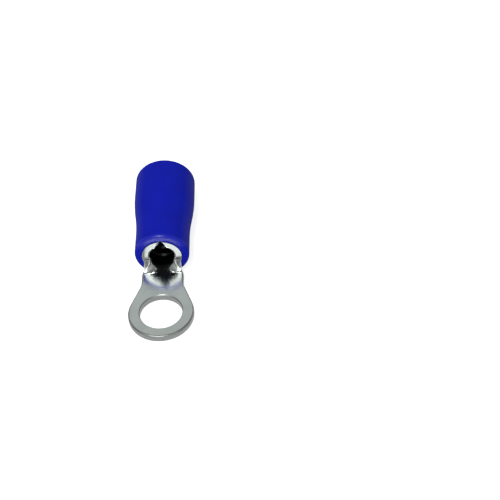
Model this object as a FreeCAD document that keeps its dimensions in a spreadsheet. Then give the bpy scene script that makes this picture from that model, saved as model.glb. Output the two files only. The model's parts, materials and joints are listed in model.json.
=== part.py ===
import FreeCAD, Part
import math
import os

import Sketcher
from FreeCAD import Vector

# Insulated ring terminal: a ring, a tongue and a rolled barrel stamped from one tin-plated copper
# strip, with a flared PVC sleeve pushed over the barrel.
#
# Frame, in millimetres: the origin is the centre of the stud hole on the ring's underside.
# +Z goes up through the stud hole. The tongue and the barrel run along +Y, and +X is to the side.
# The underside of the tongue and the lowest line of the barrel lie in the plane Z = 0.

# Driving dimensions: name, size in millimetres (degrees for an angle), what it measures
DIMENSIONS = (
    ("sheet_thickness", 0.8, "thickness of the copper strip"),
    ("edge_rounding", 0.2, "rounding of the punched edges"),
    ("stud_hole", 4.3, "diameter of the hole for an M4 stud"),
    ("hole_break", 0.08, "bevel at both ends of the stud hole"),
    ("ring_band", 1.15, "width of metal around the stud hole"),
    ("tongue_length", 3.05, "from the ring's outer edge to the mouth of the barrel"),
    ("neck_width", 4.3, "width of the tongue where it is narrowest"),
    ("neck_straight", 1.25, "flat stretch with parallel sides, before the strip starts to roll up"),
    ("neck_blend", 1.2, "radius between the neck and the sides of the ring"),
    ("transition_length", 1.2, "stretch in which the flat strip rolls up into a trough"),
    ("rim_angle", 74.0, "half angle of the trough where it meets the barrel, in degrees"),
    ("barrel_bore", 2.5, "inner diameter of the rolled barrel"),
    ("barrel_length", 5.2, "length of the barrel"),
    ("entry_chamfer", 0.25, "lead-in at the wire end of the barrel"),
    ("seam_gap", 0.06, "gap at the barrel's outer surface between the edges that meet there"),
    ("seam_bevel", 27.5, "lean of each of these edges from the upright plane, in degrees"),
    ("serration_count", 3, "grooves across the inside of the barrel that bite the wire"),
    ("serration_pitch", 1.1, "distance between grooves"),
    ("serration_width", 0.35, "width of a groove"),
    ("serration_depth", 0.18, "depth of a groove"),
    ("sleeve_clearance", 0.02, "fit of the sleeve on the barrel, on the radius and at its shoulder"),
    ("mouth_protrusion", 0.15, "length of barrel that shows in front of the sleeve"),
    ("sleeve_length", 11.5, "length of the sleeve"),
    ("sleeve_wall", 0.75, "wall of the sleeve"),
    ("sleeve_edge", 0.3, "rounding of the sleeve's outer edges"),
    ("sleeve_lip", 0.15, "rounding of the wire entry's edge"),
    ("front_straight", 2.75, "straight stretch of the sleeve over the barrel"),
    ("rear_straight", 3.0, "straight stretch of the sleeve at the wire entry"),
    ("entry_flare", 0.42, "how much the sleeve's radius grows from the barrel to the wire entry"),
    ("throat_step", 0.2, "how far the sleeve's throat stands back from the barrel's bore"),
    ("throat_land", 0.3, "length of the throat behind the barrel"),
    ("funnel_length", 1.3, "length of the cone that leads the strands into the barrel"),
)

# Sizes that follow from the driving dimensions
EDGE = "min(dimensions.edge_rounding; 0.4 * dimensions.sheet_thickness)"
HOLE_RADIUS = "dimensions.stud_hole / 2"
RING_RADIUS = f"({HOLE_RADIUS} + dimensions.ring_band)"
HALF_NECK = "dimensions.neck_width / 2"
MOUTH = f"({RING_RADIUS} + dimensions.tongue_length)"
NECK_END = f"({MOUTH} - dimensions.transition_length)"
NECK_START = f"({NECK_END} - dimensions.neck_straight)"
BORE_RADIUS = "(dimensions.barrel_bore / 2)"
BARREL_RADIUS = f"({BORE_RADIUS} + dimensions.sheet_thickness)"
BARREL_END = f"({MOUTH} + dimensions.barrel_length)"
SLEEVE_FRONT = f"({MOUTH} + dimensions.mouth_protrusion)"
SLEEVE_EDGE = "min(dimensions.sleeve_edge; 0.4 * dimensions.sleeve_wall)"
SLEEVE_LIP = "min(dimensions.sleeve_lip; 0.4 * dimensions.sleeve_wall)"
SLEEVE_BORE = f"({BARREL_RADIUS} + dimensions.sleeve_clearance)"
FRONT_RADIUS = f"({SLEEVE_BORE} + dimensions.sleeve_wall)"
ENTRY_RADIUS = f"({SLEEVE_BORE} + dimensions.entry_flare)"
REAR_RADIUS = f"({ENTRY_RADIUS} + dimensions.sleeve_wall)"
FLARE_END = "(dimensions.sleeve_length - dimensions.rear_straight)"
THROAT_RADIUS = f"({BORE_RADIUS} + dimensions.throat_step)"
SHOULDER = "(dimensions.barrel_length - dimensions.mouth_protrusion + dimensions.sleeve_clearance)"
FUNNEL_START = f"({SHOULDER} + dimensions.throat_land)"
FUNNEL_END = f"({FUNNEL_START} + dimensions.funnel_length)"

# Stations of the roll-up between the flat neck (0) and the mouth of the barrel (1)
ROLL_STATIONS = (0.25, 0.5, 0.75, 1.0)

# The sketcher's numbers for its own origin and axes, and for the points of an edge
ORIGIN = (-1, 1)
X_AXIS, Y_AXIS = range(-1, -3, -1)
START, END, CENTRE = range(1, 4)

# Two places closer than this are the same place
SAME = 1e-4


def dimension_sheet(doc):
    """Write the driving dimensions into a spreadsheet, one row each."""
    sheet = doc.addObject("Spreadsheet::Sheet", "dimensions")
    for row, (alias, value, meaning) in enumerate(DIMENSIONS, 1):
        sheet.set(f"A{row}", meaning)
        sheet.set(f"B{row}", str(value))
        sheet.setAlias(f"B{row}", alias)
    doc.recompute()
    return sheet


def number(body, formula):
    """Value of a formula over the dimension sheet."""
    return float(body.evalExpression(formula))


def new_body(doc, name):
    """Start a body whose label is the name of its node."""
    body = doc.addObject("PartDesign::Body", name)
    body.Label = name
    return body


def datum(body, role):
    """One of the body's own origin planes or axes."""
    return next(feature for feature in body.Origin.OriginFeatures if feature.Role == role)


def new_sketch(body, name, role, offset="0"):
    """Attach a sketch to one of the body's origin planes, moved along its normal by a formula."""
    sketch = body.newObject("Sketcher::SketchObject", name)
    sketch.AttachmentSupport = [(datum(body, role), "")]
    sketch.MapMode = "FlatFace"
    sketch.setExpression("AttachmentOffset.Base.z", offset)
    return sketch


def line(sketch, start, end):
    """Add a straight edge to a sketch."""
    return sketch.addGeometry(Part.LineSegment(Vector(*start, 0), Vector(*end, 0)), False)


def arc(sketch, centre, radius, first, last):
    """Add an arc to a sketch, counter-clockwise from one angle to the other, in degrees."""
    circle = Part.Circle(Vector(*centre, 0), Vector(0, 0, 1), radius)
    curve = Part.ArcOfCircle(circle, math.radians(first), math.radians(last))
    return sketch.addGeometry(curve, False)


def constrain(sketch, kind, *elements):
    """Add a geometric constraint to a sketch."""
    sketch.addConstraint(Sketcher.Constraint(kind, *elements))


def drive(sketch, name, formula, kind, *elements):
    """Add a named dimension to a sketch and tie it to a formula over the sheet."""
    value = number(sketch, formula)
    if kind == "Angle":
        value = math.radians(value)
    index = sketch.addConstraint(Sketcher.Constraint(kind, *elements, value))
    sketch.renameConstraint(index, name)
    sketch.setExpression(f"Constraints.{name}", formula)


def along(angle, reach, start=(0, 0)):
    """Point at a distance from another, in a direction given in degrees."""
    radians = math.radians(angle)
    return start[0] + reach * math.cos(radians), start[1] + reach * math.sin(radians)


def edges_where(feature, wanted):
    """Names of the feature's edges that pass a test."""
    return [f"Edge{index}" for index, edge in enumerate(feature.Shape.Edges, 1) if wanted(edge)]


def trim_edges(body, kind, name, size, formula, wanted):
    """Round or bevel the edges of the body's last feature that pass a test."""
    base = body.Tip
    feature = body.newObject(kind, name)
    feature.Base = (base, edges_where(base, wanted))
    feature.setExpression(size, formula)
    return feature


def blank_outline(body):
    """Sketch the flat outline of the ring and its tongue, as far as the strip stays flat."""
    sketch = new_sketch(body, "blank_outline", "XY_Plane")
    ring = number(body, RING_RADIUS)
    half = number(body, HALF_NECK)
    blend = number(body, "dimensions.neck_blend")
    start = number(body, NECK_START)
    end = number(body, NECK_END)

    # The side of the ring runs straight from a tangent point on the ring to the neck's blend
    centre = (half + blend, start)
    reach = math.hypot(*centre)
    lean = math.degrees(math.acos((ring + blend) / reach))
    tangent = math.degrees(math.atan2(centre[1], centre[0])) - lean

    right_end, left_end = (half, end), (-half, end)
    outer = arc(sketch, (0, 0), ring, 180 - tangent, 360 + tangent)
    right_side = line(sketch, along(tangent, ring), along(180 + tangent, blend, centre))
    right_blend = arc(sketch, centre, blend, 180, 180 + tangent)
    right_neck = line(sketch, (half, start), right_end)
    top = line(sketch, right_end, left_end)
    left_neck = line(sketch, left_end, (-half, start))
    mirror = (-centre[0], centre[1])
    left_blend = arc(sketch, mirror, blend, -tangent, 0)
    left_side = line(sketch, along(-tangent, blend, mirror), along(180 - tangent, ring))

    constrain(sketch, "Coincident", outer, CENTRE, *ORIGIN)
    constrain(sketch, "Tangent", outer, END, right_side, START)
    constrain(sketch, "Tangent", right_side, END, right_blend, END)
    constrain(sketch, "Tangent", right_blend, START, right_neck, START)
    constrain(sketch, "Coincident", right_neck, END, top, START)
    constrain(sketch, "Coincident", top, END, left_neck, START)
    constrain(sketch, "Tangent", left_neck, END, left_blend, END)
    constrain(sketch, "Tangent", left_blend, START, left_side, START)
    constrain(sketch, "Tangent", left_side, END, outer, START)
    constrain(sketch, "Vertical", right_neck)
    constrain(sketch, "Vertical", left_neck)
    constrain(sketch, "Horizontal", top)
    drive(sketch, "ring_radius", RING_RADIUS, "Radius", outer)
    drive(sketch, "right_half", HALF_NECK, "DistanceX", *ORIGIN, right_neck, START)
    drive(sketch, "left_half", HALF_NECK, "DistanceX", left_neck, END, *ORIGIN)
    drive(sketch, "right_blend", "dimensions.neck_blend", "Radius", right_blend)
    drive(sketch, "left_blend", "dimensions.neck_blend", "Radius", left_blend)
    drive(sketch, "right_start", NECK_START, "DistanceY", *ORIGIN, right_neck, START)
    drive(sketch, "left_start", NECK_START, "DistanceY", *ORIGIN, left_neck, END)
    drive(sketch, "neck_end", NECK_END, "DistanceY", *ORIGIN, top, START)
    return sketch


def chain_strip_section(sketch, edges):
    """Join the eight edges of a strip section: bottom, then corner, rim, corner, top and back."""
    bottom, right_low, right_rim, right_high, top, left_high, left_rim, left_low = edges
    constrain(sketch, "Tangent", bottom, END, right_low, START)
    constrain(sketch, "Tangent", right_low, END, right_rim, START)
    constrain(sketch, "Tangent", right_rim, END, right_high, START)
    constrain(sketch, "Tangent", right_high, END, top, END)
    constrain(sketch, "Tangent", top, START, left_high, START)
    constrain(sketch, "Tangent", left_high, END, left_rim, START)
    constrain(sketch, "Tangent", left_rim, END, left_low, START)
    constrain(sketch, "Tangent", left_low, END, bottom, START)
    for side, corner in enumerate((right_low, right_high, left_high, left_low)):
        drive(sketch, f"corner_{side}", EDGE, "Radius", corner)


def flat_section(body):
    """Sketch the flat strip's section where the roll-up starts."""
    sketch = new_sketch(body, "roll_flat", "XZ_Plane", f"-{NECK_END}")
    half = number(body, HALF_NECK)
    thick = number(body, "dimensions.sheet_thickness")
    edge = number(body, EDGE)
    inner = half - edge
    upper = thick - edge
    edges = (
        line(sketch, (-inner, 0), (inner, 0)),
        arc(sketch, (inner, edge), edge, -90, 0),
        line(sketch, (half, edge), (half, upper)),
        arc(sketch, (inner, upper), edge, 0, 90),
        line(sketch, (-inner, thick), (inner, thick)),
        arc(sketch, (-inner, upper), edge, 90, 180),
        line(sketch, (-half, upper), (-half, edge)),
        arc(sketch, (-inner, edge), edge, 180, 270),
    )
    chain_strip_section(sketch, edges)
    bottom, _, right_rim, _, top, _, left_rim, _ = edges
    constrain(sketch, "Horizontal", bottom)
    constrain(sketch, "Horizontal", top)
    constrain(sketch, "Vertical", right_rim)
    constrain(sketch, "Vertical", left_rim)
    constrain(sketch, "PointOnObject", bottom, START, X_AXIS)
    drive(sketch, "right_half", HALF_NECK, "DistanceX", *ORIGIN, right_rim, START)
    drive(sketch, "left_half", HALF_NECK, "DistanceX", left_rim, END, *ORIGIN)
    drive(sketch, "thickness", "dimensions.sheet_thickness", "DistanceY", bottom, START, top, START)
    return sketch


def rolled_section(body, share):
    """Sketch the strip's section at a station of the roll-up: an arc of constant thickness."""
    eased = share * share * (3 - 2 * share)
    angle_formula = f"dimensions.rim_angle * {eased}"
    mouth_half = f"{BARREL_RADIUS} * sin(dimensions.rim_angle)"
    half_formula = f"({HALF_NECK} * {1 - eased} + {mouth_half} * {eased})"
    outer_formula = f"{half_formula} / sin({angle_formula})"
    inner_formula = f"{outer_formula} - dimensions.sheet_thickness"
    place = f"-({NECK_END} + dimensions.transition_length * {share})"
    sketch = new_sketch(body, f"roll_{round(100 * share)}", "XZ_Plane", place)

    outer = number(body, outer_formula)
    inner = number(body, inner_formula)
    lift = number(body, angle_formula)
    edge = number(body, EDGE)
    centre = (0, outer)
    low_turn = lift - math.degrees(math.asin(edge / (outer - edge)))
    high_turn = lift - math.degrees(math.asin(edge / (inner + edge)))
    low = along(low_turn - 90, outer - edge, centre)
    high = along(high_turn - 90, inner + edge, centre)
    low_end = along(lift, edge, low)
    high_end = along(lift, edge, high)
    edges = (
        arc(sketch, centre, outer, -90 - low_turn, low_turn - 90),
        arc(sketch, low, edge, low_turn - 90, lift),
        line(sketch, low_end, high_end),
        arc(sketch, high, edge, lift, 90 + high_turn),
        arc(sketch, centre, inner, -90 - high_turn, high_turn - 90),
        arc(sketch, (-high[0], high[1]), edge, 90 - high_turn, 180 - lift),
        line(sketch, (-high_end[0], high_end[1]), (-low_end[0], low_end[1])),
        arc(sketch, (-low[0], low[1]), edge, 180 - lift, 270 - low_turn),
    )
    chain_strip_section(sketch, edges)
    bottom, _, right_rim, _, top, _, left_rim, _ = edges
    constrain(sketch, "Coincident", bottom, CENTRE, top, CENTRE)
    constrain(sketch, "PointOnObject", bottom, CENTRE, Y_AXIS)
    constrain(sketch, "PointOnObject", bottom, CENTRE, right_rim)
    constrain(sketch, "Symmetric", right_rim, START, left_rim, END, Y_AXIS)
    drive(sketch, "outer", outer_formula, "Radius", bottom)
    drive(sketch, "inner", inner_formula, "Radius", top)
    drive(sketch, "height", outer_formula, "DistanceY", *ORIGIN, bottom, CENTRE)
    drive(sketch, "lift", f"90 + {angle_formula}", "Angle", right_rim)
    return sketch


def barrel_section(body):
    """Sketch the barrel's ring section in the plane of its mouth."""
    sketch = new_sketch(body, "barrel_section", "XZ_Plane", f"-{MOUTH}")
    centre = Vector(0, number(body, BARREL_RADIUS), 0)
    up = Vector(0, 0, 1)
    outer = sketch.addGeometry(Part.Circle(centre, up, number(body, BARREL_RADIUS)), False)
    inner = sketch.addGeometry(Part.Circle(centre, up, number(body, BORE_RADIUS)), False)
    constrain(sketch, "Coincident", outer, CENTRE, inner, CENTRE)
    constrain(sketch, "PointOnObject", outer, CENTRE, Y_AXIS)
    drive(sketch, "height", BARREL_RADIUS, "DistanceY", *ORIGIN, outer, CENTRE)
    drive(sketch, "outer", BARREL_RADIUS, "Radius", outer)
    drive(sketch, "inner", BORE_RADIUS, "Radius", inner)
    return sketch


def serration_section(body):
    """Sketch the first groove inside the barrel, from the barrel's axis out to its floor."""
    sketch = new_sketch(body, "serration_section", "YZ_Plane")
    floor = f"({BORE_RADIUS} + dimensions.serration_depth)"
    spread = "(dimensions.serration_count - 1) * dimensions.serration_pitch"
    first = f"({MOUTH} + (dimensions.barrel_length - {spread} - dimensions.serration_width) / 2)"
    near = number(body, first)
    far = near + number(body, "dimensions.serration_width")
    low = number(body, BARREL_RADIUS)
    high = low + number(body, floor)
    base = line(sketch, (near, low), (far, low))
    back = line(sketch, (far, low), (far, high))
    roof = line(sketch, (far, high), (near, high))
    front = line(sketch, (near, high), (near, low))
    axis = sketch.addGeometry(Part.LineSegment(Vector(0, low, 0), Vector(near, low, 0)), True)
    for one, other in ((base, back), (back, roof), (roof, front), (front, base)):
        constrain(sketch, "Coincident", one, END, other, START)
    for level in (base, roof, axis):
        constrain(sketch, "Horizontal", level)
    for upright in (back, front):
        constrain(sketch, "Vertical", upright)
    constrain(sketch, "Coincident", axis, END, base, START)
    constrain(sketch, "PointOnObject", axis, START, Y_AXIS)
    drive(sketch, "axis_height", BARREL_RADIUS, "DistanceY", *ORIGIN, base, START)
    drive(sketch, "first_groove", first, "DistanceX", *ORIGIN, base, START)
    drive(sketch, "width", "dimensions.serration_width", "DistanceX", base, START, base, END)
    drive(sketch, "depth", floor, "DistanceY", back, START, back, END)
    return sketch


def seam_section(body):
    """Sketch the seam in the plane of the mouth: a wedge, nearly closed at the outer surface."""
    sketch = new_sketch(body, "seam_section", "XZ_Plane", f"-{MOUTH}")
    outer_top = f"2 * {BARREL_RADIUS}"
    apex_formula = f"{outer_top} + dimensions.seam_gap / (2 * tan(dimensions.seam_bevel))"
    reach_formula = f"({apex_formula} - {BARREL_RADIUS}) * tan(dimensions.seam_bevel)"
    apex = (0, number(body, apex_formula))
    level = number(body, BARREL_RADIUS)
    reach = number(body, reach_formula)
    base = line(sketch, (-reach, level), (reach, level))
    right = line(sketch, (reach, level), apex)
    left = line(sketch, apex, (-reach, level))
    for one, other in ((base, right), (right, left), (left, base)):
        constrain(sketch, "Coincident", one, END, other, START)
    constrain(sketch, "PointOnObject", right, END, Y_AXIS)
    constrain(sketch, "Symmetric", base, START, base, END, Y_AXIS)
    drive(sketch, "apex", apex_formula, "DistanceY", *ORIGIN, right, END)
    drive(sketch, "axis_height", BARREL_RADIUS, "DistanceY", *ORIGIN, base, END)
    drive(sketch, "half_width", reach_formula, "DistanceX", *ORIGIN, base, END)
    return sketch


def build_terminal(doc):
    """Model the stamped and rolled copper terminal, one piece from the ring to the barrel."""
    body = new_body(doc, "terminal")
    thick = number(body, "dimensions.sheet_thickness")
    neck_end = number(body, NECK_END)
    hole_radius = number(body, HOLE_RADIUS)
    bore_radius = number(body, BORE_RADIUS)
    barrel_end = number(body, BARREL_END)

    tongue = body.newObject("PartDesign::Pad", "tongue")
    tongue.Profile = blank_outline(body)
    tongue.setExpression("Length", "dimensions.sheet_thickness")
    doc.recompute()

    def is_punched_edge(edge):
        box = edge.BoundBox
        level = box.ZMax - box.ZMin < SAME
        return level and not (box.YMin > neck_end - SAME and box.YMax < neck_end + SAME)

    trim_edges(body, "PartDesign::Fillet", "punched_edges", "Radius", EDGE, is_punched_edge)
    doc.recompute()

    hole_circle = new_sketch(body, "hole_circle", "XY_Plane")
    circle = Part.Circle(Vector(0, 0, 0), Vector(0, 0, 1), hole_radius)
    rim = hole_circle.addGeometry(circle, False)
    constrain(hole_circle, "Coincident", rim, CENTRE, *ORIGIN)
    drive(hole_circle, "hole_radius", HOLE_RADIUS, "Radius", rim)
    hole = body.newObject("PartDesign::Pocket", "stud_hole")
    hole.Profile = hole_circle
    hole.Type = "ThroughAll"
    hole.Reversed = True
    doc.recompute()

    def is_hole_edge(edge):
        curve = edge.Curve
        if not isinstance(curve, Part.Circle):
            return False
        return abs(curve.Radius - hole_radius) < SAME and curve.Center.distanceToPoint(
            Vector(0, 0, 0)) < thick + SAME

    trim_edges(body, "PartDesign::Chamfer", "hole_break", "Size", "dimensions.hole_break",
               is_hole_edge)
    doc.recompute()

    roll_up = body.newObject("PartDesign::AdditiveLoft", "roll_up")
    roll_up.Profile = flat_section(body)
    roll_up.Sections = [rolled_section(body, share) for share in ROLL_STATIONS]
    doc.recompute()

    barrel = body.newObject("PartDesign::Pad", "barrel")
    barrel.Profile = barrel_section(body)
    barrel.Reversed = True
    barrel.setExpression("Length", "dimensions.barrel_length")
    doc.recompute()

    def is_entry_edge(edge):
        curve = edge.Curve
        if not isinstance(curve, Part.Circle):
            return False
        at_end = abs(curve.Center.y - barrel_end) < SAME
        return at_end and abs(curve.Radius - bore_radius) < SAME

    trim_edges(body, "PartDesign::Chamfer", "wire_lead_in", "Size", "dimensions.entry_chamfer",
               is_entry_edge)
    doc.recompute()

    section = serration_section(body)
    groove = body.newObject("PartDesign::Groove", "serration")
    groove.Profile = section
    groove.ReferenceAxis = (section, ["Axis0"])
    groove.Angle = 360
    doc.recompute()
    row = body.newObject("PartDesign::LinearPattern", "serrations")
    row.Originals = [groove]
    row.Direction = (datum(body, "Y_Axis"), [""])
    row.setExpression("Occurrences", "dimensions.serration_count")
    row.setExpression("Length", "(dimensions.serration_count - 1) * dimensions.serration_pitch")
    body.Tip = row
    doc.recompute()

    seam = body.newObject("PartDesign::Pocket", "butt_seam")
    seam.Profile = seam_section(body)
    seam.Type = "ThroughAll"
    doc.recompute()
    return body


def sleeve_profile(body):
    """Sketch the sleeve's wall: distance behind its front face across, radius up."""
    sketch = new_sketch(body, "sleeve_profile", "YZ_Plane")
    bore = number(body, SLEEVE_BORE)
    front = number(body, FRONT_RADIUS)
    entry = number(body, ENTRY_RADIUS)
    rear = number(body, REAR_RADIUS)
    throat = number(body, THROAT_RADIUS)
    edge = number(body, SLEEVE_EDGE)
    lip = number(body, SLEEVE_LIP)
    length = number(body, "dimensions.sleeve_length")
    flare_start = number(body, "dimensions.front_straight")
    flare_end = number(body, FLARE_END)
    shoulder = number(body, SHOULDER)
    funnel_start = number(body, FUNNEL_START)
    funnel_end = number(body, FUNNEL_END)

    # Two equal arcs make the flare, and meet halfway
    run = flare_end - flare_start
    rise = rear - front
    bend = (run * run + rise * rise) / (4 * rise)
    turn = math.degrees(math.asin(run / (2 * bend)))

    front_face = line(sketch, (0, bore), (0, front - edge))
    front_edge = arc(sketch, (edge, front - edge), edge, 90, 180)
    front_wall = line(sketch, (edge, front), (flare_start, front))
    flare_out = arc(sketch, (flare_start, front + bend), bend, -90, turn - 90)
    flare_in = arc(sketch, (flare_end, rear - bend), bend, 90, 90 + turn)
    rear_wall = line(sketch, (flare_end, rear), (length - edge, rear))
    rear_edge = arc(sketch, (length - edge, rear - edge), edge, 0, 90)
    rear_face = line(sketch, (length, rear - edge), (length, entry + lip))
    entry_lip = arc(sketch, (length - lip, entry + lip), lip, 270, 360)
    entry_bore = line(sketch, (length - lip, entry), (funnel_end, entry))
    funnel = line(sketch, (funnel_end, entry), (funnel_start, throat))
    throat_bore = line(sketch, (funnel_start, throat), (shoulder, throat))
    stop = line(sketch, (shoulder, throat), (shoulder, bore))
    barrel_seat = line(sketch, (shoulder, bore), (0, bore))

    constrain(sketch, "Tangent", front_face, END, front_edge, END)
    constrain(sketch, "Tangent", front_edge, START, front_wall, START)
    constrain(sketch, "Tangent", front_wall, END, flare_out, START)
    constrain(sketch, "Tangent", flare_out, END, flare_in, END)
    constrain(sketch, "Tangent", flare_in, START, rear_wall, START)
    constrain(sketch, "Tangent", rear_wall, END, rear_edge, END)
    constrain(sketch, "Tangent", rear_edge, START, rear_face, START)
    constrain(sketch, "Tangent", rear_face, END, entry_lip, END)
    constrain(sketch, "Tangent", entry_lip, START, entry_bore, START)
    corners = (entry_bore, funnel, throat_bore, stop, barrel_seat, front_face)
    for one, other in zip(corners, corners[1:]):
        constrain(sketch, "Coincident", one, END, other, START)
    for level in (front_wall, rear_wall, entry_bore, throat_bore, barrel_seat):
        constrain(sketch, "Horizontal", level)
    for upright in (front_face, rear_face, stop):
        constrain(sketch, "Vertical", upright)
    constrain(sketch, "PointOnObject", front_face, START, Y_AXIS)
    constrain(sketch, "Equal", flare_out, flare_in)
    drive(sketch, "seat_radius", SLEEVE_BORE, "DistanceY", *ORIGIN, front_face, START)
    drive(sketch, "front_radius", FRONT_RADIUS, "DistanceY", *ORIGIN, front_wall, START)
    drive(sketch, "front_edge", SLEEVE_EDGE, "Radius", front_edge)
    drive(sketch, "flare_start", "dimensions.front_straight", "DistanceX", *ORIGIN, flare_out, START)
    drive(sketch, "flare_end", FLARE_END, "DistanceX", *ORIGIN, flare_in, START)
    drive(sketch, "rear_radius", REAR_RADIUS, "DistanceY", *ORIGIN, rear_wall, START)
    drive(sketch, "rear_edge", SLEEVE_EDGE, "Radius", rear_edge)
    drive(sketch, "length", "dimensions.sleeve_length", "DistanceX", *ORIGIN, rear_face, START)
    drive(sketch, "lip", SLEEVE_LIP, "Radius", entry_lip)
    drive(sketch, "entry_radius", ENTRY_RADIUS, "DistanceY", *ORIGIN, entry_bore, END)
    drive(sketch, "funnel_end", FUNNEL_END, "DistanceX", *ORIGIN, funnel, START)
    drive(sketch, "funnel_start", FUNNEL_START, "DistanceX", *ORIGIN, funnel, END)
    drive(sketch, "throat_radius", THROAT_RADIUS, "DistanceY", *ORIGIN, throat_bore, START)
    drive(sketch, "shoulder", SHOULDER, "DistanceX", *ORIGIN, stop, START)
    return sketch


def build_sleeve(doc):
    """Model the PVC sleeve, turned about the barrel's axis from its own front face."""
    body = new_body(doc, "insulating_sleeve")
    body.setExpression("Placement.Base.y", SLEEVE_FRONT)
    body.setExpression("Placement.Base.z", BARREL_RADIUS)
    wall = body.newObject("PartDesign::Revolution", "sleeve_wall")
    wall.Profile = sleeve_profile(body)
    wall.ReferenceAxis = (datum(body, "Y_Axis"), [""])
    wall.Angle = 360
    doc.recompute()
    return body


def check(doc, bodies):
    """Stop if an object failed or a sub-part has no valid single solid."""
    for item in doc.Objects:
        if "Invalid" in item.State or "Error" in item.State:
            raise RuntimeError(f"{item.Name} failed: {item.State}")
    for body in bodies:
        shape = body.Shape
        if shape.isNull() or not shape.isValid() or len(shape.Solids) != 1:
            raise RuntimeError(f"{body.Label} is not one valid solid")


def main():
    """Build the document and write each sub-part to its own file."""
    doc = FreeCAD.newDocument("ring_terminal")
    dimension_sheet(doc)
    bodies = [build_terminal(doc), build_sleeve(doc)]
    doc.recompute()
    check(doc, bodies)
    os.makedirs("parts", exist_ok=True)
    for body in bodies:
        body.Shape.exportStep(f"parts/{body.Label}.step")
        box = body.Shape.optimalBoundingBox(False)
        print(f"{body.Label}: {body.Shape.Volume:.3f} mm3, {box.XLength:.2f} x {box.YLength:.2f}"
              f" x {box.ZLength:.2f} mm")


main()
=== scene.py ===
import json
import math

import bmesh
import bpy
from bpy.props import FloatProperty, FloatVectorProperty, PointerProperty
from mathutils import Euler, Matrix, Vector


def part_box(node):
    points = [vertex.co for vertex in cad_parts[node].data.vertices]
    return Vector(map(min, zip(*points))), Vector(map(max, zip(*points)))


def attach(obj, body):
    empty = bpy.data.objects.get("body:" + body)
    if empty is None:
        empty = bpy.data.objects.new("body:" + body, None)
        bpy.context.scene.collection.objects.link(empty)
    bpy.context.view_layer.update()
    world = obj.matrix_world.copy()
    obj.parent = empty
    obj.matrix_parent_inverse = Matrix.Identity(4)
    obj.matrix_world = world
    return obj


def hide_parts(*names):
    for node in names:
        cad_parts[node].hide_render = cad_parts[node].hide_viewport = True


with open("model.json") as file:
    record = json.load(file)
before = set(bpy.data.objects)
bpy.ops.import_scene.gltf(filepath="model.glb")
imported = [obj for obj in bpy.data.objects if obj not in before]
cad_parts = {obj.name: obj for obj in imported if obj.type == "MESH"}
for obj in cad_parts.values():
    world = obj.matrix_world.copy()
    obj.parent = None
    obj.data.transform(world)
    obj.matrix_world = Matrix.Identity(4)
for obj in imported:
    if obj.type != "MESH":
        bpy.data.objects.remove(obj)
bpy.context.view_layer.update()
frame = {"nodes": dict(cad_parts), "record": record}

bl_info = {
    "name": "Insulated Ring Terminal",
    "version": (1, 0, 0),
    "blender": (4, 5, 0),
    "location": "3D View > Sidebar > Ring Terminal",
    "description": "Dresses a crimp ring terminal in tin plate and blue PVC, on a white table",
    "category": "Object",
}

MM = 0.001
TERMINAL = "terminal"
SLEEVE = "insulating_sleeve"

# Dome level by height angle in degrees: 0 behind the part, 90 overhead, 180 in front of it
DOME_LEVELS = ((0, 0.6), (50, 0.6), (62, 0.2), (110, 0.15), (130, 0.5), (180, 0.45))
DOME_TINT = (0.95, 1.0, 0.98)

# Dome level to the part's left and right
SIDE_LEVEL = 0.35

# The lamps: name, place, side and power in watts. They point at the middle of the part
LAMPS = (
    ("Key_softbox", (-0.04, -0.16, 0.33), 0.08, 0.85),
    ("Front_softbox", (-0.05, -0.26, 0.26), 0.16, 0.35),
)
LAMP_AIM = (0, 6 * MM, 0)

# The camera's sensor in millimetres, and the distances between which it sees
SENSOR_WIDTH = 36
CLIP_START = 1 * MM
CLIP_END = 100

# The centre of mass lies this far behind the stud hole
BALANCE = 7.5 * MM

# The barrel, as its mount gives it: the height of its axis and the radius of its bore. It
# stands on the tongue's underside, at height 0, so its outer radius is its axis height
BORE = next(mount for mount in frame["record"]["mounts"] if mount["name"] == "wire_bore")
AXIS_HEIGHT = BORE["pos_m"][2]
BORE_RADIUS = BORE["dims"]["r_mm"] * MM
OUTER_RADIUS = AXIS_HEIGHT

# The plane of the barrel's mouth, and the height above which its edges are free of the wings
MOUTH = 6.35 * MM
RIMS = 1.7 * MM

# Two places closer than SAME are one place. Faces that turn less than FLAT are one face, and
# those that turn more than SHARP meet in a sharp edge
SAME = 0.001 * MM
FLAT = math.radians(0.2)
SHARP = math.radians(35)

# The rounding of the mouth's edges has this many faces across, and an edge counts as an
# inner one if it lies at least RIM_GAP inside the barrel's outer surface
ROUNDING_STEPS = 4
RIM_GAP = 0.02 * MM

# Masks on the metal. Each pair is where a mask starts and where it is full. Z runs up from
# the tongue's underside and Y back from the stud hole
BORE_WALL = (1.5 * BORE_RADIUS, 1.3 * BORE_RADIUS)
BORE_FADE = 0.1 * MM
EDGE_TOP = (0.797 * MM, 0.775 * MM)
EDGE_FOOT = (0.04 * MM, 0.1 * MM)
FLAT_TONGUE = (5.4 * MM, 5.0 * MM)
MOUTH_FRONT = (6.3 * MM, 6.34 * MM)
MOUTH_BACK = (6.37 * MM, 6.36 * MM)
WING_START = (5.0 * MM, 5.15 * MM)
WING_END = (6.34 * MM, 6.3 * MM)
WING_SIDE = (1.0 * MM, 1.2 * MM)
WING_DEPTH = (0, 0.1 * MM)

# The line over which the tops of the wings lie: its height at the start and at the mouth
WING_LINE = (5.15 * MM, MOUTH)
WING_HEIGHTS = (0.85 * MM, 1.45 * MM)

# Masks on the sleeve, for a painted highlight: how far behind its front end the front gloss fades,
# and the heights over the barrel's axis between which it grows
HIGHLIGHT_DEPTH = (0.4 * MM, 0.25 * MM)
HIGHLIGHT_HEIGHT = (1.0 * MM, 2.2 * MM)

# Height of the dents and the orange peel, and the share of it that shows
RELIEF = 0.01 * MM
DENT_STRENGTH = 0.03
PEEL_STRENGTH = 0.15

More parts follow.
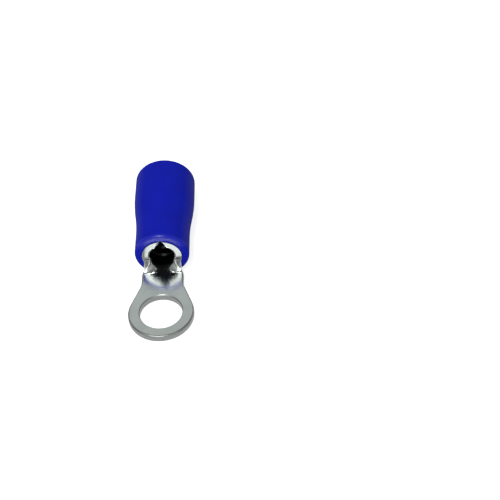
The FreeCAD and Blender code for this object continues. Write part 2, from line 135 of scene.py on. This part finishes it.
# A noise texture stays between these values for most of a surface, and moves the mean
# roughness down and up by these amounts
NOISE_LOW = 0.3
NOISE_HIGH = 0.7
TIN_SWING = (-0.03, 0.05)
PVC_SWING = (-0.04, 0.04)

# Soft PVC bends light by this much, and the table is nearly matt
PVC_IOR = 1.53
TABLE_ROUGHNESS = 0.9


def linear(code):
    """Turn an sRGB hex colour into the linear values that a shader takes."""
    shares = [int(code[i:i + 2], 16) / 255 for i in (1, 3, 5)]
    return [s / 12.92 if s <= 0.04045 else ((s + 0.055) / 1.055) ** 2.4 for s in shares]


class TerminalSettings(bpy.types.PropertyGroup):
    """Finish of the stamped metal."""

    plate_colour: FloatVectorProperty(
        name="Tin plate", description="Colour of the tin plate where it is clean",
        subtype="COLOR", size=3, min=0, max=1, default=linear("#DADEDC"))
    shade_colour: FloatVectorProperty(
        name="Dull tin", description="Colour of the tin plate where it has dulled",
        subtype="COLOR", size=3, min=0, max=1, default=linear("#CDD2CF"))
    # Painted shade: this colour darkens the plate inside the barrel, which lies in shade
    bore_shade_colour: FloatVectorProperty(
        name="Bore", description="Colour of the plate inside the barrel, dull from the rolling",
        subtype="COLOR", size=3, min=0, max=1, default=linear("#545655"))
    # Painted shade: the punched edges and the mouth's end face take this darker colour; the
    # punched edges are also rougher
    cut_shade_colour: FloatVectorProperty(
        name="Cut edges", description="Colour of the punched edges, rougher than the sheet",
        subtype="COLOR", size=3, min=0, max=1, default=linear("#858786"))
    roughness: FloatProperty(
        name="Roughness", description="Mean roughness of the plated surface",
        subtype="FACTOR", min=0.02, max=1, default=0.17)
    cut_roughness: FloatProperty(
        name="Cut roughness", description="Roughness of the punched edges",
        subtype="FACTOR", min=0.02, max=1, default=0.48)
    mouth_rounding: FloatProperty(
        name="Mouth rounding", description="Rounding of the inner edges of the barrel's mouth",
        unit="LENGTH", min=0.01 * MM, max=0.25 * MM, default=0.25 * MM)
    # Painted shade: where the painted darkening of the bore starts
    bore_shade_start: FloatProperty(
        name="Bore start", description="Distance from the stud hole at which the bore dulls",
        unit="LENGTH", min=0, max=20 * MM, default=6.36 * MM)
    cloud_size: FloatProperty(
        name="Cloud size", description="Size of the duller clouds in the plate",
        unit="LENGTH", min=0.1 * MM, max=5 * MM, default=1.2 * MM)
    grain_size: FloatProperty(
        name="Grain size", description="Size of the faint dents that tumbling leaves",
        unit="LENGTH", min=0.02 * MM, max=1 * MM, default=0.18 * MM)


class SleeveSettings(bpy.types.PropertyGroup):
    """Finish of the moulded sleeve."""

    pvc_colour: FloatVectorProperty(
        name="PVC", description="Colour of the blue PVC",
        subtype="COLOR", size=3, min=0, max=1, default=linear("#141FA8"))
    deep_colour: FloatVectorProperty(
        name="Deep PVC", description="Darker blue of the flow marks",
        subtype="COLOR", size=3, min=0, max=1, default=linear("#111A98"))
    roughness: FloatProperty(
        name="Roughness", description="Mean roughness of the moulded surface",
        subtype="FACTOR", min=0.02, max=1, default=0.42)
    shine: FloatProperty(
        name="Shine", description="Strength of the body's own reflection, 0.5 for clean PVC",
        subtype="FACTOR", min=0, max=1, default=0.0)
    gloss: FloatProperty(
        name="Gloss", description="Share of the thin gloss that the mould leaves all over",
        subtype="FACTOR", min=0, max=1, default=0.08)
    # Painted highlight: the gloss is stronger at the top of the front face only
    front_highlight_gloss: FloatProperty(
        name="Front gloss", description="Share of the gloss at the top of the front face",
        subtype="FACTOR", min=0, max=1, default=0.7)
    gloss_roughness: FloatProperty(
        name="Gloss roughness", description="Roughness of the thin gloss",
        subtype="FACTOR", min=0.02, max=1, default=0.25)
    flow_size: FloatProperty(
        name="Flow mark size", description="Size of the clouds that the melt's flow leaves",
        unit="LENGTH", min=0.1 * MM, max=10 * MM, default=2.2 * MM)
    peel_size: FloatProperty(
        name="Orange peel size", description="Size of the mould's fine orange peel",
        unit="LENGTH", min=0.02 * MM, max=1 * MM, default=0.22 * MM)


class StageSettings(bpy.types.PropertyGroup):
    """The table, the lamps and the camera."""

    camera_place: FloatVectorProperty(
        name="Camera place", description="Where the camera stands, in the part's frame",
        subtype="TRANSLATION", unit="LENGTH", size=3,
        default=(9.890 * MM, -65.559 * MM, 75.694 * MM))
    camera_turn: FloatVectorProperty(
        name="Camera turn", description="How the camera is turned from looking straight down",
        subtype="EULER", unit="ROTATION", size=3,
        default=[math.radians(a) for a in (44.4419, 2.0569, -1.4658)])
    lens: FloatProperty(
        name="Lens", description="Focal length on a 36 mm wide sensor",
        subtype="DISTANCE_CAMERA", min=10, max=300, default=72)
    table_size: FloatProperty(
        name="Table size", description="Side of the white table",
        unit="LENGTH", min=0.1, max=10, default=3)
    table_glow: FloatProperty(
        name="Table glow", description="Light that lifts the table to white where it is seen",
        min=0, max=2, default=0.8)
    table_colour: FloatVectorProperty(
        name="Table", description="Colour of the table, as it throws light back at the part",
        subtype="COLOR", size=3, min=0, max=1, default=linear("#BCBCBC"))


def new_material(name):
    """Start a node material and return it with its tree and its principled shader."""
    material = bpy.data.materials.new(name)
    material.use_nodes = True
    tree = material.node_tree
    return material, tree, tree.nodes["Principled BSDF"]


def add_node(tree, kind, settings=None, **inputs):
    """Add a node, set its properties, and give each input a value or a link."""
    node = tree.nodes.new(kind)
    for name, value in (settings or {}).items():
        setattr(node, name, value)
    for name, value in inputs.items():
        socket = node.inputs[int(name[1:]) if name[1:].isdigit() else name.replace("_", " ")]
        if isinstance(value, bpy.types.NodeSocket):
            tree.links.new(value, socket)
        else:
            socket.default_value = value
    return node


def region(tree, *ramps):
    """Mask of the places where all ramps are full: each is a value, its start and its end."""
    mask = None
    for value, start, end in ramps:
        rises = start < end
        share = add_node(tree, "ShaderNodeMapRange", Value=value, From_Min=min(start, end),
                         From_Max=max(start, end), To_Min=float(not rises),
                         To_Max=float(rises)).outputs["Result"]
        if mask is not None:
            share = add_node(tree, "ShaderNodeMath", {"operation": "MULTIPLY"}, _0=mask,
                             _1=share).outputs["Value"]
        mask = share
    return mask


def tin_plate(settings):
    """Tin plate on stamped copper: a bright satin grey with soft clouds and faint dents."""
    material, tree, shader = new_material("Tin_plate_tumbled")
    place = add_node(tree, "ShaderNodeTexCoord").outputs["Object"]
    clouds = add_node(tree, "ShaderNodeTexNoise", Vector=place, Scale=1 / settings.cloud_size,
                      Detail=3.0, Roughness=0.55)
    tint = add_node(tree, "ShaderNodeMix", {"data_type": "RGBA"}, Factor=clouds.outputs["Fac"],
                    _6=(*settings.plate_colour, 1), _7=(*settings.shade_colour, 1))

    # Painted shade: inside the barrel, behind its mouth and close to its wall, the plate is
    # painted darker, as the bore lies in shade
    part = add_node(tree, "ShaderNodeSeparateXYZ", Vector=place)
    height = add_node(tree, "ShaderNodeMath", {"operation": "SUBTRACT"},
                      _0=part.outputs["Z"], _1=AXIS_HEIGHT)
    flat = add_node(tree, "ShaderNodeCombineXYZ", X=part.outputs["X"], Y=height.outputs["Value"])
    radius = add_node(tree, "ShaderNodeVectorMath", {"operation": "LENGTH"},
                      Vector=flat.outputs["Vector"])
    inside = region(
        tree, (radius.outputs["Value"], *BORE_WALL),
        (part.outputs["Y"], settings.bore_shade_start, settings.bore_shade_start + BORE_FADE))
    bore_shaded = add_node(tree, "ShaderNodeMix", {"data_type": "RGBA"}, Factor=inside,
                     _6=tint.outputs[2], _7=(*settings.bore_shade_colour, 1))

    # The punched edges of the flat ring and tongue lie between the sheet's two faces
    edge = region(tree, (part.outputs["Z"], *EDGE_TOP), (part.outputs["Z"], *EDGE_FOOT),
                  (part.outputs["Y"], *FLAT_TONGUE))

    # The sheet's end face is the ring around the barrel's mouth
    end = region(tree, (part.outputs["Y"], *MOUTH_FRONT), (part.outputs["Y"], *MOUTH_BACK))

    # Where the tongue rolls up, the punched edges are the tops of the two wings, which rise
    # to the mouth
    rise = add_node(tree, "ShaderNodeMapRange", Value=part.outputs["Y"],
                    From_Min=WING_LINE[0], From_Max=WING_LINE[1], To_Min=WING_HEIGHTS[0],
                    To_Max=WING_HEIGHTS[1])
    above = add_node(tree, "ShaderNodeMath", {"operation": "SUBTRACT"}, _0=part.outputs["Z"],
                     _1=rise.outputs["Result"])
    aside = add_node(tree, "ShaderNodeMath", {"operation": "ABSOLUTE"}, _0=part.outputs["X"])
    wing = region(tree, (above.outputs["Value"], *WING_DEPTH),
                  (part.outputs["Y"], *WING_END), (aside.outputs["Value"], *WING_SIDE),
                  (part.outputs["Y"], *WING_START))
    edge = add_node(tree, "ShaderNodeMath", {"operation": "MAXIMUM"}, _0=edge, _1=wing)
    # Painted shade: the punched edges, the wings' tops and the mouth's end face are painted darker
    # than the plate
    cut = add_node(tree, "ShaderNodeMath", {"operation": "MAXIMUM"}, _0=edge.outputs["Value"],
                   _1=end)
    plate = add_node(tree, "ShaderNodeMix", {"data_type": "RGBA"}, Factor=cut.outputs["Value"],
                     _6=bore_shaded.outputs[2], _7=(*settings.cut_shade_colour, 1))
    tree.links.new(plate.outputs[2], shader.inputs["Base Color"])
    rough = add_node(tree, "ShaderNodeMapRange", Value=clouds.outputs["Fac"],
                     From_Min=NOISE_LOW, From_Max=NOISE_HIGH,
                     To_Min=settings.roughness + TIN_SWING[0],
                     To_Max=settings.roughness + TIN_SWING[1])
    worn = add_node(tree, "ShaderNodeMix", _0=edge.outputs["Value"],
                    _2=rough.outputs["Result"], _3=settings.cut_roughness)
    tree.links.new(worn.outputs[0], shader.inputs["Roughness"])
    dents = add_node(tree, "ShaderNodeTexNoise", Vector=place, Scale=1 / settings.grain_size,
                     Detail=2.0, Roughness=0.5)
    bump = add_node(tree, "ShaderNodeBump", Strength=DENT_STRENGTH, Distance=RELIEF,
                    Height=dents.outputs["Fac"])
    tree.links.new(bump.outputs["Normal"], shader.inputs["Normal"])
    shader.inputs["Metallic"].default_value = 1.0
    return material


def soft_pvc(settings):
    """Blue PVC, moulded and satin: even colour with faint flow marks and a fine orange peel."""
    material, tree, shader = new_material("Soft_PVC_moulded")
    place = add_node(tree, "ShaderNodeTexCoord").outputs["Object"]
    flow = add_node(tree, "ShaderNodeTexNoise", Vector=place, Scale=1 / settings.flow_size,
                    Detail=2.0, Roughness=0.5)
    tint = add_node(tree, "ShaderNodeMix", {"data_type": "RGBA"}, Factor=flow.outputs["Fac"],
                    _6=(*settings.pvc_colour, 1), _7=(*settings.deep_colour, 1))
    tree.links.new(tint.outputs[2], shader.inputs["Base Color"])
    peel = add_node(tree, "ShaderNodeTexNoise", Vector=place, Scale=1 / settings.peel_size,
                    Detail=2.0, Roughness=0.5)
    rough = add_node(tree, "ShaderNodeMapRange", Value=peel.outputs["Fac"],
                     From_Min=NOISE_LOW, From_Max=NOISE_HIGH,
                     To_Min=settings.roughness + PVC_SWING[0],
                     To_Max=settings.roughness + PVC_SWING[1])
    tree.links.new(rough.outputs["Result"], shader.inputs["Roughness"])
    bump = add_node(tree, "ShaderNodeBump", Strength=PEEL_STRENGTH, Distance=RELIEF,
                    Height=peel.outputs["Fac"])
    tree.links.new(bump.outputs["Normal"], shader.inputs["Normal"])
    shader.inputs["IOR"].default_value = PVC_IOR
    shader.inputs["Specular IOR Level"].default_value = settings.shine

    # A thin gloss all over, and more of it at the top of the front face and its rounded edge: a
    # painted highlight there
    part = add_node(tree, "ShaderNodeSeparateXYZ", Vector=place)
    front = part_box(SLEEVE)[0].y
    face = region(
        tree, (part.outputs["Y"], *(front + depth for depth in HIGHLIGHT_DEPTH)),
        (part.outputs["Z"], *(AXIS_HEIGHT + height for height in HIGHLIGHT_HEIGHT)))
    gloss = add_node(tree, "ShaderNodeMapRange", Value=face, To_Min=settings.gloss,
                     To_Max=settings.front_highlight_gloss)
    tree.links.new(gloss.outputs["Result"], shader.inputs["Coat Weight"])
    shader.inputs["Coat Roughness"].default_value = settings.gloss_roughness
    return material


def white_table(settings):
    """Pale satin acrylic: lit to plain white for the eye, with the part's soft shadow on it."""
    material, tree, shader = new_material("White_table")
    shader.inputs["Base Color"].default_value = (*settings.table_colour, 1)
    shader.inputs["Roughness"].default_value = TABLE_ROUGHNESS
    shader.inputs["Specular IOR Level"].default_value = 0.0
    path = add_node(tree, "ShaderNodeLightPath")
    seen = add_node(tree, "ShaderNodeMath", {"operation": "MAXIMUM"},
                    _0=path.outputs["Is Camera Ray"], _1=path.outputs["Is Glossy Ray"])
    seen = add_node(tree, "ShaderNodeMath", {"operation": "MAXIMUM"},
                    _0=seen.outputs["Value"], _1=path.outputs["Is Transmission Ray"])
    glow = add_node(tree, "ShaderNodeMath", {"operation": "MULTIPLY"},
                    _0=seen.outputs["Value"], _1=settings.table_glow)
    shader.inputs["Emission Color"].default_value = (1, 1, 1, 1)
    tree.links.new(glow.outputs["Value"], shader.inputs["Emission Strength"])
    return material


def set_world():
    """Soft studio dome: white to the camera. For the object its level follows the height angle."""
    world = bpy.data.worlds.new("Studio_dome")
    bpy.context.scene.world = world
    world.use_nodes = True
    tree = world.node_tree
    dome = tree.nodes["Background"]
    path = add_node(tree, "ShaderNodeLightPath")
    place = add_node(tree, "ShaderNodeTexCoord").outputs["Generated"]
    part = add_node(tree, "ShaderNodeSeparateXYZ", Vector=place)
    turn = add_node(tree, "ShaderNodeMath", {"operation": "ARCTAN2"},
                    _0=part.outputs["Z"], _1=part.outputs["Y"])
    share = region(tree, (turn.outputs["Value"], 0, math.pi))
    ramp = add_node(tree, "ShaderNodeValToRGB", Fac=share)
    stops = ramp.color_ramp.elements
    for _ in DOME_LEVELS[2:]:
        stops.new(0.5)
    for stop, (angle, level) in zip(stops, DOME_LEVELS):
        stop.position = angle / 180
        stop.color = (*(level * share for share in DOME_TINT), 1)
    aside = add_node(tree, "ShaderNodeMath", {"operation": "MULTIPLY"},
                     _0=part.outputs["X"], _1=part.outputs["X"])
    level = add_node(tree, "ShaderNodeMix", {"data_type": "RGBA"}, _0=aside.outputs["Value"],
                     _6=ramp.outputs["Color"], _7=(SIDE_LEVEL, SIDE_LEVEL, SIDE_LEVEL, 1))
    seen = add_node(tree, "ShaderNodeMix", {"data_type": "RGBA"},
                    _0=path.outputs["Is Camera Ray"], _6=level.outputs[2], _7=(1, 1, 1, 1))
    tree.links.new(seen.outputs[2], dome.inputs["Color"])
    dome.inputs["Strength"].default_value = 1.0
    return world


def add_lamp(name, place, aim, size, power):
    """Add a square area lamp that points at a place."""
    data = bpy.data.lights.new(name, "AREA")
    data.size = size
    data.energy = power
    lamp = bpy.data.objects.new(name, data)
    bpy.context.scene.collection.objects.link(lamp)
    lamp.location = place
    lamp.rotation_euler = (Vector(aim) - Vector(place)).to_track_quat("-Z", "Y").to_euler()
    return lamp


def rest_line():
    """The two points, as (y, z), on which the part lies on a flat table."""
    places = sorted({(v.co.y, v.co.z) for node in (TERMINAL, SLEEVE)
                     for v in frame["nodes"][node].data.vertices})
    hull = []
    for y, z in places:
        while len(hull) > 1:
            (y0, z0), (y1, z1) = hull[-2:]
            if (y1 - y0) * (z - z0) > (z1 - z0) * (y - y0):
                break
            hull.pop()
        hull.append((y, z))
    return next(pair for pair in zip(hull, hull[1:]) if pair[0][0] <= BALANCE < pair[1][0])


def is_mouth_edge(edge):
    """Whether an edge is a sharp inner one of the mouth: on its bore or its seam."""
    if not edge.is_convex or edge.calc_face_angle() < SHARP:
        return False
    middle = (edge.verts[0].co + edge.verts[1].co) / 2
    in_plane = all(abs(vert.co.y - MOUTH) < SAME and vert.co.z > RIMS for vert in edge.verts)
    reach = math.hypot(middle.x, middle.z - AXIS_HEIGHT)
    return in_plane and reach < OUTER_RADIUS - RIM_GAP


class RINGTERMINAL_OT_plate_terminal(bpy.types.Operator):
    """Copy the stamped terminal, round the edges of its mouth and give it its tin plate"""

    bl_idname = "ring_terminal.plate_terminal"
    bl_label = "Plate Terminal"

    def execute(self, context):
        node = frame["nodes"].get(TERMINAL)
        if node is None:
            raise RuntimeError("the packed model has no terminal")
        settings = context.scene.ring_terminal
        shape = bmesh.new()
        shape.from_mesh(node.data)
        bmesh.ops.remove_doubles(shape, verts=shape.verts, dist=SAME)
        bmesh.ops.dissolve_limit(shape, angle_limit=FLAT, verts=shape.verts, edges=shape.edges)
        rims = [edge for edge in shape.edges if is_mouth_edge(edge)]
        if not rims:
            raise RuntimeError("the barrel's mouth has no edge to round")
        bmesh.ops.bevel(shape, geom=rims, offset=settings.mouth_rounding, offset_type="OFFSET",
                        affect="EDGES", segments=ROUNDING_STEPS, profile=0.5, material=-1,
                        clamp_overlap=False)
        mesh = bpy.data.meshes.new("Terminal_plated")
        shape.to_mesh(mesh)
        shape.free()
        mesh.shade_smooth()
        mesh.set_sharp_from_angle(angle=SHARP)
        mesh.materials.append(tin_plate(settings))
        piece = bpy.data.objects.new("Terminal_plated", mesh)
        context.scene.collection.objects.link(piece)
        blend = piece.modifiers.new("Even_shading", "WEIGHTED_NORMAL")
        blend.keep_sharp = True
        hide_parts(TERMINAL)
        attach(piece, "root")
        return {"FINISHED"}


class RINGTERMINAL_OT_colour_sleeve(bpy.types.Operator):
    """Give the moulded sleeve its blue PVC"""

    bl_idname = "ring_terminal.colour_sleeve"
    bl_label = "Colour Sleeve"

    def execute(self, context):
        node = frame["nodes"].get(SLEEVE)
        if node is None:
            raise RuntimeError("the packed model has no sleeve")
        material = soft_pvc(context.scene.ring_sleeve)
        node.data.materials.clear()
        node.data.materials.append(material)
        return {"FINISHED"}


class RINGTERMINAL_OT_set_stage(bpy.types.Operator):
    """Lay the white table under the part, and set the dome, the lamps and the camera"""

    bl_idname = "ring_terminal.set_stage"
    bl_label = "Set Stage"

    def execute(self, context):
        scene = context.scene
        settings = scene.ring_stage

        (front_y, front_z), (rear_y, rear_z) = rest_line()
        slope = (rear_z - front_z) / (rear_y - front_y)
        shape = bmesh.new()
        bmesh.ops.create_grid(shape, x_segments=1, y_segments=1, size=settings.table_size / 2)
        lay = Matrix.Translation((0, front_y, front_z)) @ Matrix.Rotation(math.atan(slope), 4, "X")
        bmesh.ops.transform(shape, matrix=lay, verts=shape.verts)
        mesh = bpy.data.meshes.new("White_table")
        shape.to_mesh(mesh)
        shape.free()
        mesh.materials.append(white_table(settings))
        table = bpy.data.objects.new("White_table", mesh)
        scene.collection.objects.link(table)

        set_world()
        for name, place, side, power in LAMPS:
            add_lamp(name, place, LAMP_AIM, side, power)

        data = bpy.data.cameras.new("Photo_camera")
        data.sensor_width = SENSOR_WIDTH
        data.lens = settings.lens
        data.clip_start = CLIP_START
        data.clip_end = CLIP_END
        camera = bpy.data.objects.new("Photo_camera", data)
        scene.collection.objects.link(camera)
        camera.location = settings.camera_place
        camera.rotation_euler = Euler(settings.camera_turn)
        scene.camera = camera
        scene.view_settings.view_transform = "Standard"
        return {"FINISHED"}


class RINGTERMINAL_PT_panel(bpy.types.Panel):
    """Sizes, colours and steps of the ring terminal"""

    bl_idname = "RINGTERMINAL_PT_panel"
    bl_label = "Ring Terminal"
    bl_space_type = "VIEW_3D"
    bl_region_type = "UI"
    bl_category = "Ring Terminal"

    def draw(self, context):
        for settings, step in (
                (context.scene.ring_terminal, RINGTERMINAL_OT_plate_terminal),
                (context.scene.ring_sleeve, RINGTERMINAL_OT_colour_sleeve),
                (context.scene.ring_stage, RINGTERMINAL_OT_set_stage)):
            box = self.layout.box()
            for name in settings.bl_rna.properties.keys():
                if name not in ("rna_type", "name"):
                    box.prop(settings, name)
            box.operator(step.bl_idname)


CLASSES = (
    TerminalSettings,
    SleeveSettings,
    StageSettings,
    RINGTERMINAL_OT_plate_terminal,
    RINGTERMINAL_OT_colour_sleeve,
    RINGTERMINAL_OT_set_stage,
    RINGTERMINAL_PT_panel,
)


def register():
    """Add the classes and the scene's settings."""
    for item in CLASSES:
        bpy.utils.register_class(item)
    bpy.types.Scene.ring_terminal = PointerProperty(type=TerminalSettings)
    bpy.types.Scene.ring_sleeve = PointerProperty(type=SleeveSettings)
    bpy.types.Scene.ring_stage = PointerProperty(type=StageSettings)


def unregister():
    """Take away what register added."""
    del bpy.types.Scene.ring_stage
    del bpy.types.Scene.ring_sleeve
    del bpy.types.Scene.ring_terminal
    for item in reversed(CLASSES):
        bpy.utils.unregister_class(item)


def main():
    """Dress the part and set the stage."""
    register()
    bpy.ops.ring_terminal.plate_terminal()
    bpy.ops.ring_terminal.colour_sleeve()
    bpy.ops.ring_terminal.set_stage()


if __name__ == "__main__":
    main()
